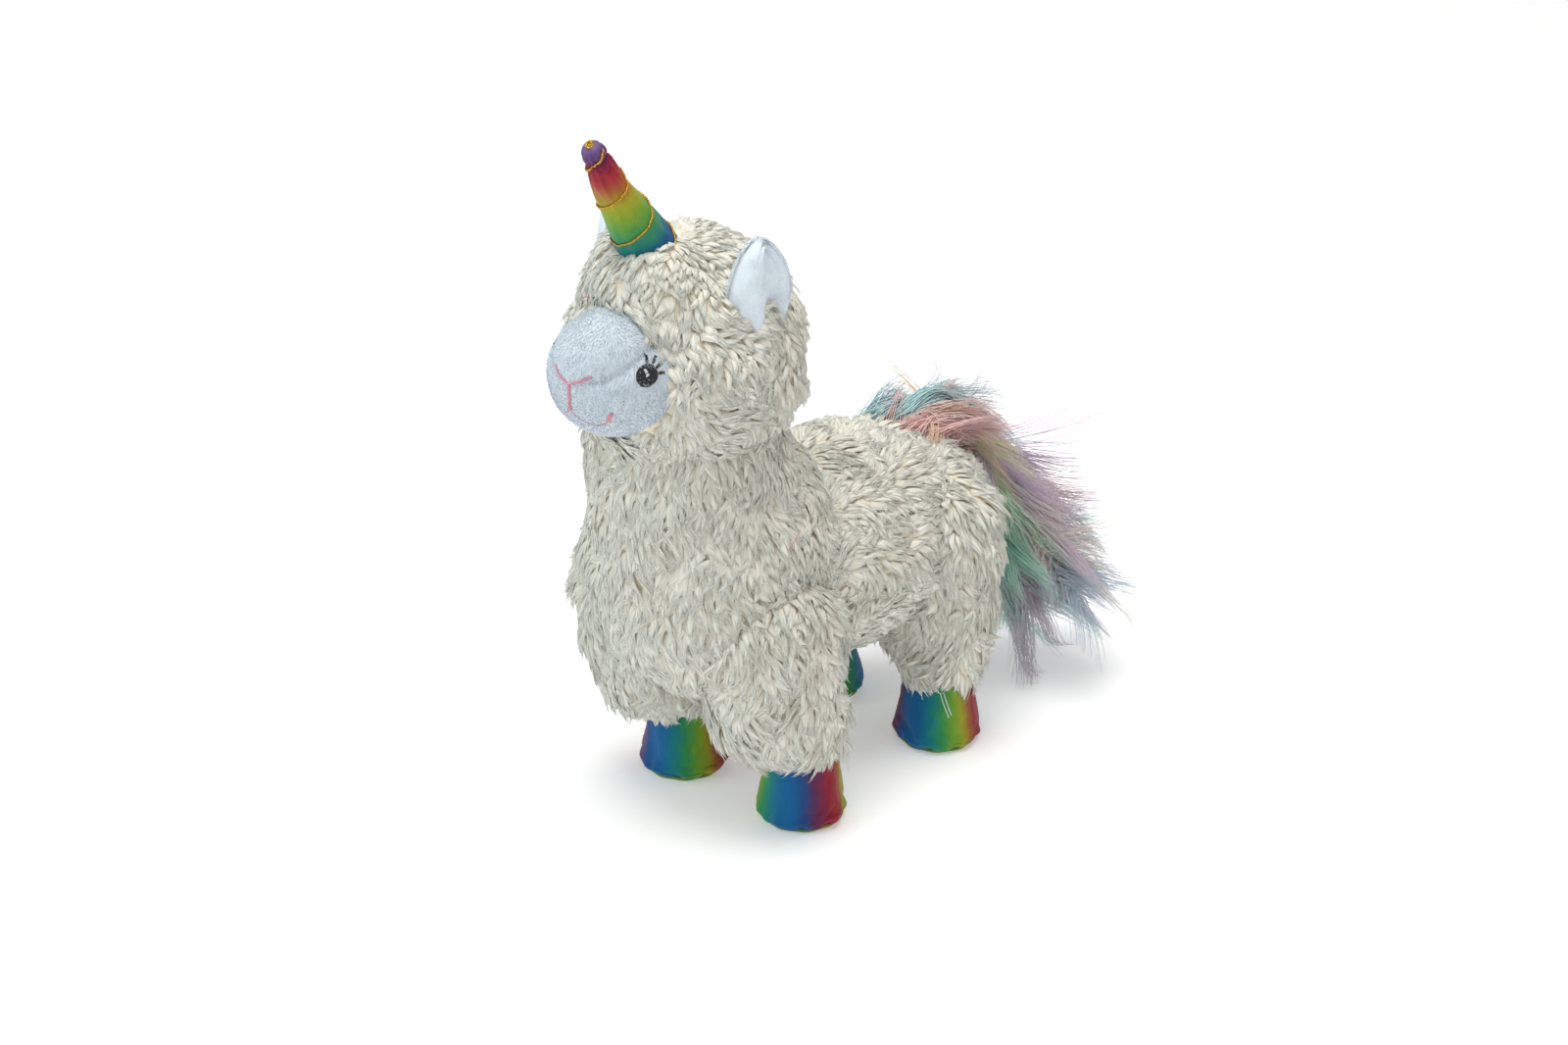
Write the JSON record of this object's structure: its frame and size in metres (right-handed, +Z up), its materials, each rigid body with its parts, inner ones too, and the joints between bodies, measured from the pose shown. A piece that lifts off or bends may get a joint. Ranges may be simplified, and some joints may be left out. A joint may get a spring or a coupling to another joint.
{
  "type": "plush toy animal",
  "caption": "Standing stuffed toy animal in curly fleece, with a soft horn, satin hooves, floppy ears and a long fur tail; head, ears, horn, legs and tail flex.",
  "frame": {"origin": "centre of the bounding box at the floor, under the four hooves", "axes": "+Z up, the animal faces -Y, its left side is +X"},
  "size_m": [0.106, 0.2472, 0.269],
  "materials": {
    "cream_fleece": "curly sherpa fleece",
    "white_plush": "short pile plush",
    "stuffing": "polyester fibre fill",
    "black_thread": "satin stitch",
    "white_thread": "thread",
    "pink_thread": "thread",
    "horn_satin": "satin, bands of colour along its length",
    "gold_cord": "twisted metallic thread",
    "hoof_satin": "satin, bands of colour round it",
    "sole_satin": "satin",
    "tail_fur": "long faux fur in pastel colours",
    "knit_backing": "knit"
  },
  "bodies": {
    "torso": {"torso_cover_left": "cream_fleece", "torso_cover_right": "cream_fleece", "belly_panel": "cream_fleece", "belly_closing_seam": "white_thread", "torso_stuffing": "stuffing"},
    "neck": {"neck_cover": "cream_fleece", "neck_stuffing": "stuffing"},
    "head": {"head_cover_left": "cream_fleece", "head_cover_right": "cream_fleece", "crown_gusset": "cream_fleece", "head_stuffing": "stuffing", "muzzle_upper_panel": "white_plush", "muzzle_lower_panel": "white_plush", "muzzle_stuffing": "stuffing", "nose_and_mouth_stitching": "pink_thread", "left_eye": "black_thread", "right_eye": "black_thread", "left_eye_glint": "white_thread", "right_eye_glint": "white_thread", "left_eyelashes": "black_thread", "right_eyelashes": "black_thread"},
    "left_ear": {"left_ear_back": "white_plush", "left_ear_front": "white_plush"},
    "right_ear": {"right_ear_back": "white_plush", "right_ear_front": "white_plush"},
    "horn": {"horn_sleeve": "horn_satin", "horn_stuffing": "stuffing", "horn_cord": "gold_cord", "horn_tip_gather": "gold_cord"},
    "tail_root": {"tail_root_ball": "cream_fleece"},
    "tail": {"tail_backing": "knit_backing", "tail_plume": "tail_fur"},
    "front_left_leg": {"front_left_leg_cover": "cream_fleece", "front_left_leg_stuffing": "stuffing", "front_left_hoof_sleeve": "hoof_satin", "front_left_hoof_sole": "sole_satin"},
    "front_right_leg": {"front_right_leg_cover": "cream_fleece", "front_right_leg_stuffing": "stuffing", "front_right_hoof_sleeve": "hoof_satin", "front_right_hoof_sole": "sole_satin"},
    "hind_left_leg": {"hind_left_leg_cover": "cream_fleece", "hind_left_leg_stuffing": "stuffing", "hind_left_hoof_sleeve": "hoof_satin", "hind_left_hoof_sole": "sole_satin"},
    "hind_right_leg": {"hind_right_leg_cover": "cream_fleece", "hind_right_leg_stuffing": "stuffing", "hind_right_hoof_sleeve": "hoof_satin", "hind_right_hoof_sole": "sole_satin"}
  },
  "joints": [
    {"name": "head_turn", "type": "hinge", "parent": "torso", "child": "neck", "pos_m": [0, -0.057, 0.118], "axis": [0, 0, 1], "range_deg": [-30, 30], "stiffness_Nm_per_rad": 0.6},
    {"name": "head_nod", "type": "hinge", "parent": "neck", "child": "head", "pos_m": [0, -0.065, 0.179], "axis": [1, 0, 0], "range_deg": [-12, 14], "stiffness_Nm_per_rad": 1},
    {"name": "horn_bend", "type": "hinge", "parent": "head", "child": "horn", "pos_m": [0, -0.0825, 0.2205], "axis": [1, 0, 0], "range_deg": [-15, 15], "stiffness_Nm_per_rad": 0.05},
    {"name": "left_ear_flop", "type": "hinge", "parent": "head", "child": "left_ear", "pos_m": [0.0304, -0.0604, 0.2116], "axis": [0.1045, 0.9945, 0], "range_deg": [-5, 35], "stiffness_Nm_per_rad": 0.01},
    {"name": "right_ear_flop", "type": "hinge", "parent": "head", "child": "right_ear", "pos_m": [-0.0304, -0.0604, 0.2116], "axis": [-0.1045, 0.9945, 0], "range_deg": [-35, 5], "stiffness_Nm_per_rad": 0.01},
    {"name": "front_left_leg_swing", "type": "hinge", "parent": "torso", "child": "front_left_leg", "pos_m": [0.028, -0.055, 0.079], "axis": [1, 0, 0], "range_deg": [-18, 15], "stiffness_Nm_per_rad": 0.5},
    {"name": "front_right_leg_swing", "type": "hinge", "parent": "torso", "child": "front_right_leg", "pos_m": [-0.028, -0.055, 0.079], "axis": [1, 0, 0], "range_deg": [-18, 15], "stiffness_Nm_per_rad": 0.5},
    {"name": "hind_left_leg_swing", "type": "hinge", "parent": "torso", "child": "hind_left_leg", "pos_m": [0.028, 0.038, 0.079], "axis": [1, 0, 0], "range_deg": [-15, 18], "stiffness_Nm_per_rad": 0.5},
    {"name": "hind_right_leg_swing", "type": "hinge", "parent": "torso", "child": "hind_right_leg", "pos_m": [-0.028, 0.038, 0.079], "axis": [1, 0, 0], "range_deg": [-15, 18], "stiffness_Nm_per_rad": 0.5},
    {"name": "tail_sway", "type": "hinge", "parent": "torso", "child": "tail_root", "pos_m": [0, 0.058, 0.115], "axis": [0, 0, 1], "range_deg": [-25, 25], "stiffness_Nm_per_rad": 0.02},
    {"name": "tail_lift", "type": "hinge", "parent": "tail_root", "child": "tail", "pos_m": [0, 0.058, 0.115], "axis": [1, 0, 0], "range_deg": [0, 50], "stiffness_Nm_per_rad": 0.03}
  ]
}
